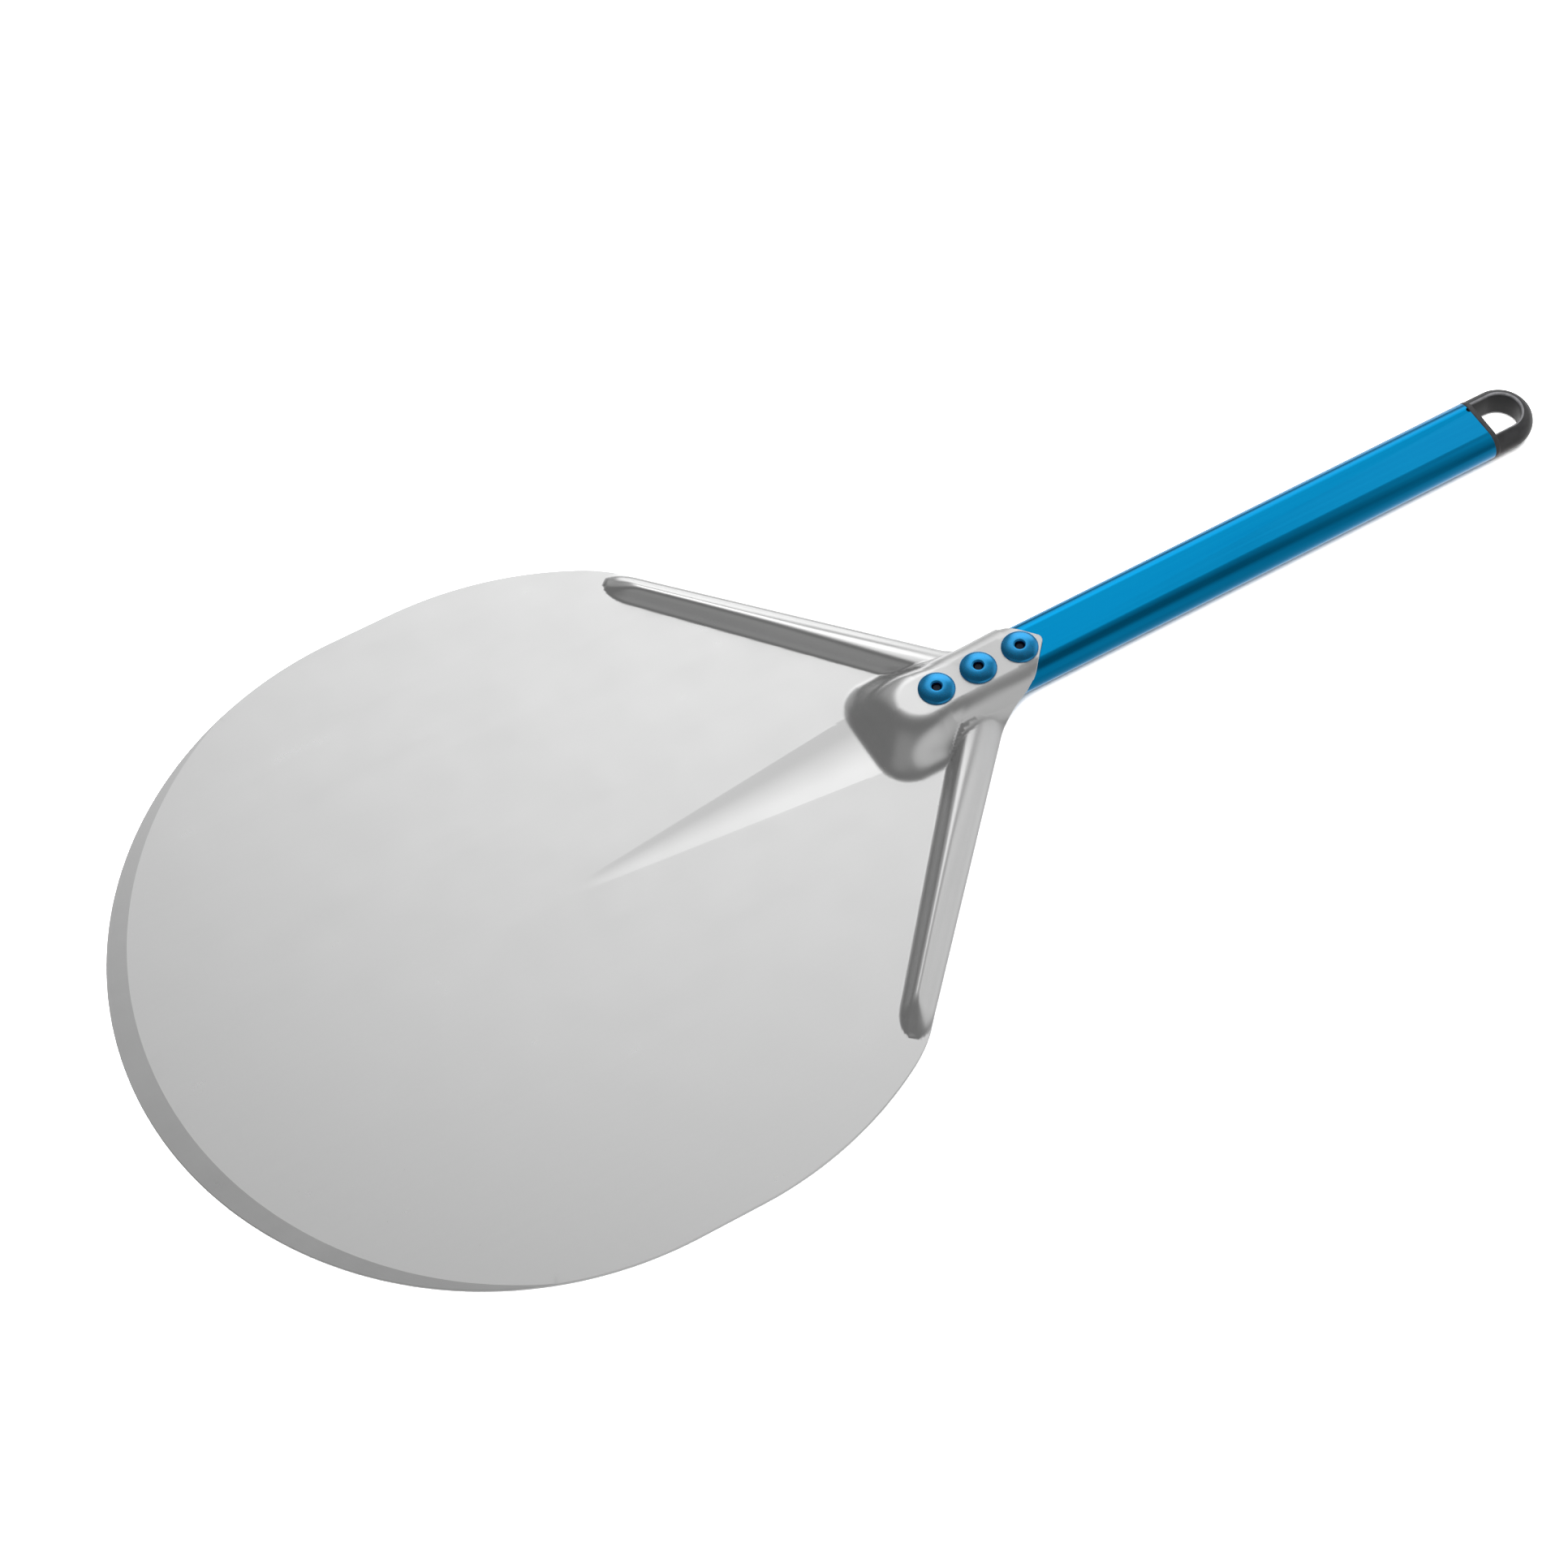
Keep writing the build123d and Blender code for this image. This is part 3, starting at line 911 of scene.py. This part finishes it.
def band_section():
    """Loop section as (u, v): u out from the loop's axis, v up. It follows the tube's round side."""
    centre = TUBE_WIDTH / 2 - TUBE_MID
    radius = TUBE_WIDTH / 2 - LOOP_INSET - centre
    inner = TUBE_WIDTH / 2 - LOOP_BAND
    flat_u = inner + 1.5
    start = math.acos((flat_u - centre) / radius)
    rim = TUBE_MID + radius * math.sin(start)
    turns = np.linspace(0, start, ROUND_POINTS)
    half = [(centre + radius * math.cos(a), TUBE_MID + radius * math.sin(a)) for a in turns]
    half += [(inner + 1.0, rim + 0.1), (inner + 0.5, rim), (inner + 0.14, rim - 0.3), (inner, rim - 0.9)]
    low = [(u, TUBE_HEIGHT - v) for u, v in half[::-1]]
    return half + low[:-1]


def make_cap():
    """The hanging loop, swept round its centre, and the collar with the plug inside the tube."""
    section = band_section()
    n = len(section)
    front = TUBE_REAR + COLLAR
    legs = np.linspace(front - 0.6, LOOP_CENTRE, 8)
    path = [(x, 90.0) for x in legs[:-1]]
    path += [(LOOP_CENTRE, a) for a in np.linspace(90, -90, 61)]
    path += [(x, -90.0) for x in legs[-2::-1]]
    verts = []
    for x, a in path:
        c, s = math.cos(math.radians(a)), math.sin(math.radians(a))
        verts += [(x + u * c, u * s, v) for u, v in section]
    faces = []
    for i in range(len(path) - 1):
        a, b = i * n, (i + 1) * n
        faces += [(a + j, a + (j + 1) % n, b + (j + 1) % n, b + j) for j in range(n)]
    faces.append(tuple(range(n)))
    faces.append(tuple(range((len(path) - 1) * n, len(path) * n))[::-1])
    loop = mesh_object("cap_loop", verts, faces, PLASTIC, sharp_angle=35)
    # The rim spans get the lighter plastic: a painted highlight.
    loop.data.materials.append(SHEEN_PLASTIC)
    for p in loop.data.polygons[: (len(path) - 1) * n]:
        if ROUND_POINTS <= p.index % n < ROUND_POINTS + 3:
            p.material_index = 1
    place(loop, "end_cap")

    plug = TUBE_WALL + 0.4
    stations = [
        (TUBE_REAR - PLUG_LENGTH, plug + 0.8),
        (TUBE_REAR - PLUG_LENGTH + 0.8, plug),
        (TUBE_REAR + 0.02, plug),
        (TUBE_REAR + 0.02, 0.25),
        (TUBE_REAR + 0.22, 0.05),
        (TUBE_REAR + 0.45, 0.0),
        (front - 0.8, 0.0),
        (front - 0.25, 0.18),
        (front, 0.6),
    ]
    verts, faces = oval_stack(stations, TUBE_WIDTH, TUBE_HEIGHT, False)
    collar = mesh_object("cap_collar", verts, faces, PLASTIC, sharp_angle=35)
    place(collar, None)


# ---------------------------------------------------------------------- rivets


def rivet_profile():
    """Closed section of a set blind rivet with a domed flange, as (r, z above the sheet)."""
    flange = [
        (8.0, 0.0),
        (8.0, 0.42),
        (7.95, 0.68),
        (7.8, 0.93),
        (7.5, 1.19),
        (7.0, 1.46),
        (6.3, 1.72),
        (5.5, 1.93),
        (4.7, 2.08),
        (3.95, 2.18),
        (3.3, 2.22),
        (2.85, 2.25),
        (2.55, 2.22),
        (2.32, 2.11),
        (2.16, 1.9),
        (2.06, 1.6),
        (1.98, 1.2),
    ]
    wall = -SHEET - TUBE_WALL
    tail = [(1.93, 0.6), (1.93, -9.6), (3.2, -9.6), (3.4, -8.6), (4.2, -7.2), (4.7, -5.6), (4.5, -4.2)]
    tail += [(3.6, wall - 0.05), (3.2, wall), (3.2, -0.02)]
    return [(r, z + TOP) for r, z in flange + tail]


def make_rivets():
    """Three flanges with their set ends. The mandrels inside are the CAD's own pieces."""
    for name, x in zip(("front", "middle", "rear"), RIVETS):
        verts, faces = lathe(rivet_profile(), x)
        rivet = mesh_object("flange_" + name, verts, faces, RIVET_BLUE, sharp_angle=38)
        place(rivet, "rivet_" + name)
        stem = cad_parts["mandrel_" + name]
        # The mandrel gets the near-black steel: painted shade in the bore.
        stem.data.materials.clear()
        stem.data.materials.append(SHADED_STEEL)


make_head()
make_tube()
make_cap()
make_rivets()


# ---------------------------------------------------------------- floor, light


def make_floor():
    """A pale floor just under the blade. It isn't mirrored in the metal, the world's lower half is."""
    mesh = bpy.data.meshes.new("floor")
    size = 6.0
    corners = [(-size, -size, 0), (size, -size, 0), (size, size, 0), (-size, size, 0)]
    mesh.from_pydata(corners, [], [(0, 1, 2, 3)])
    floor = bpy.data.objects.new("floor", mesh)
    bpy.context.scene.collection.objects.link(floor)
    floor.location.z = -0.0002
    s = Shade("floor")
    s.set(Roughness=0.9, Specular_IOR_Level=0.1)
    s.link(s.blend(s.noise(3, 2), (0.90, 0.90, 0.90), (0.93, 0.93, 0.93)), s.bsdf.inputs["Base Color"])
    mesh.materials.append(s.material)
    floor.visible_glossy = False


def make_world():
    """A studio as seen by the metal: a big soft box behind and right, a weak front fill, dark left."""
    world = bpy.data.worlds.new("studio")
    bpy.context.scene.world = world
    world.use_nodes = True
    tree = world.node_tree
    tree.nodes.clear()
    out = tree.nodes.new("ShaderNodeOutputWorld")
    back = tree.nodes.new("ShaderNodeBackground")
    coords = tree.nodes.new("ShaderNodeTexCoord")
    split = tree.nodes.new("ShaderNodeSeparateXYZ")
    tree.links.new(coords.outputs["Generated"], split.inputs[0])

    def toward(direction):
        n = tree.nodes.new("ShaderNodeVectorMath")
        n.operation = "DOT_PRODUCT"
        n.inputs[1].default_value = Vector(direction).normalized()
        tree.links.new(coords.outputs["Generated"], n.inputs[0])
        return n.outputs["Value"]

    def slope(source, low, high, start, end, kind="LINEAR"):
        n = tree.nodes.new("ShaderNodeMapRange")
        n.interpolation_type = kind
        for key, value in zip(("From Min", "From Max", "To Min", "To Max"), (start, end, low, high)):
            n.inputs[key].default_value = value
        tree.links.new(source, n.inputs["Value"])
        return n.outputs["Result"]

    def ramp(source, low, high, start, end):
        return slope(source, low, high, start, end, "SMOOTHSTEP")

    def math_node(operation, a, b):
        n = tree.nodes.new("ShaderNodeMath")
        n.operation = operation
        for i, v in enumerate((a, b)):
            if isinstance(v, (int, float)):
                n.inputs[i].default_value = v
            else:
                tree.links.new(v, n.inputs[i])
        return n.outputs[0]

    def add(*terms):
        total = terms[0]
        for term in terms[1:]:
            total = math_node("ADD", total, term)
        return total

    # Soft box behind: a wide faint glow, the small bright patch the flat blade mirrors, and its core.
    key = toward((0.55, 0.70, 0.45))
    patch = toward((0.272, 0.583, 0.766))
    box = add(
        slope(key, 0.0, 0.20, 0.52, 0.76),
        slope(patch, 0.0, 0.92, 0.9575, 1.0),
        slope(key, 0.0, 1.15, 0.925, 0.975),
    )
    sky = math_node("MULTIPLY", box, ramp(split.outputs["Z"], 0, 1, 0.04, 0.30))
    # Fills: in front, beyond the handle and to the left.
    fill = add(
        ramp(toward((0.12, -0.96, 0.18)), 0.0, 0.38, 0.72, 0.95),
        ramp(toward((0.95, -0.08, 0.30)), 0.0, 0.42, 0.78, 0.96),
        ramp(toward((-0.75, -0.45, 0.48)), 0.0, 0.10, 0.80, 0.97),
    )
    sky = add(sky, fill, 0.16)
    ground = ramp(toward((0.6, 0.8, 0.0)), 0.48, 1.15, -0.3, 0.6)
    below = ramp(split.outputs["Z"], 1, 0, -0.22, 0.02)
    lower = math_node("MULTIPLY", ground, below)
    upper = math_node("MULTIPLY", sky, math_node("SUBTRACT", 1.0, below))
    mixed = add(lower, upper)
    tree.links.new(mixed, back.inputs["Strength"])
    back.inputs["Color"].default_value = (1, 1, 1, 1)
    tree.links.new(back.outputs[0], out.inputs["Surface"])


def make_lights():
    """A wide overhead panel that lights the floor and the matt pieces but isn't mirrored in the metal."""
    data = bpy.data.lights.new("overhead", "AREA")
    data.shape = "DISK"
    data.size = 3.2
    data.energy = 260
    light = bpy.data.objects.new("overhead", data)
    bpy.context.scene.collection.objects.link(light)
    light.location = (0.15, 0.1, 2.4)
    light.visible_glossy = False


def make_camera():
    """The main view: a long lens, above and in front of the blade's near side."""
    data = bpy.data.cameras.new("camera")
    data.sensor_width = 36.0
    data.lens = CAMERA_LENS
    data.clip_end = 50
    camera = bpy.data.objects.new("camera", data)
    bpy.context.scene.collection.objects.link(camera)
    azimuth, elevation, roll = (math.radians(a) for a in (CAMERA_AZIMUTH, CAMERA_ELEVATION, CAMERA_ROLL))
    level = math.cos(elevation)
    back = Vector((math.sin(azimuth) * level, -math.cos(azimuth) * level, math.sin(elevation)))
    right = Vector((0, 0, 1)).cross(back).normalized()
    up = back.cross(right)
    c, s = math.cos(roll), math.sin(roll)
    right, up = right * c + up * s, up * c - right * s
    turn = Matrix((right, up, back)).transposed()
    camera.matrix_world = Matrix.Translation(CAMERA_PLACE) @ turn.to_4x4()
    bpy.context.scene.camera = camera


make_floor()
make_world()
make_lights()
make_camera()
bpy.context.scene.view_settings.view_transform = "Standard"
bpy.context.view_layer.update()
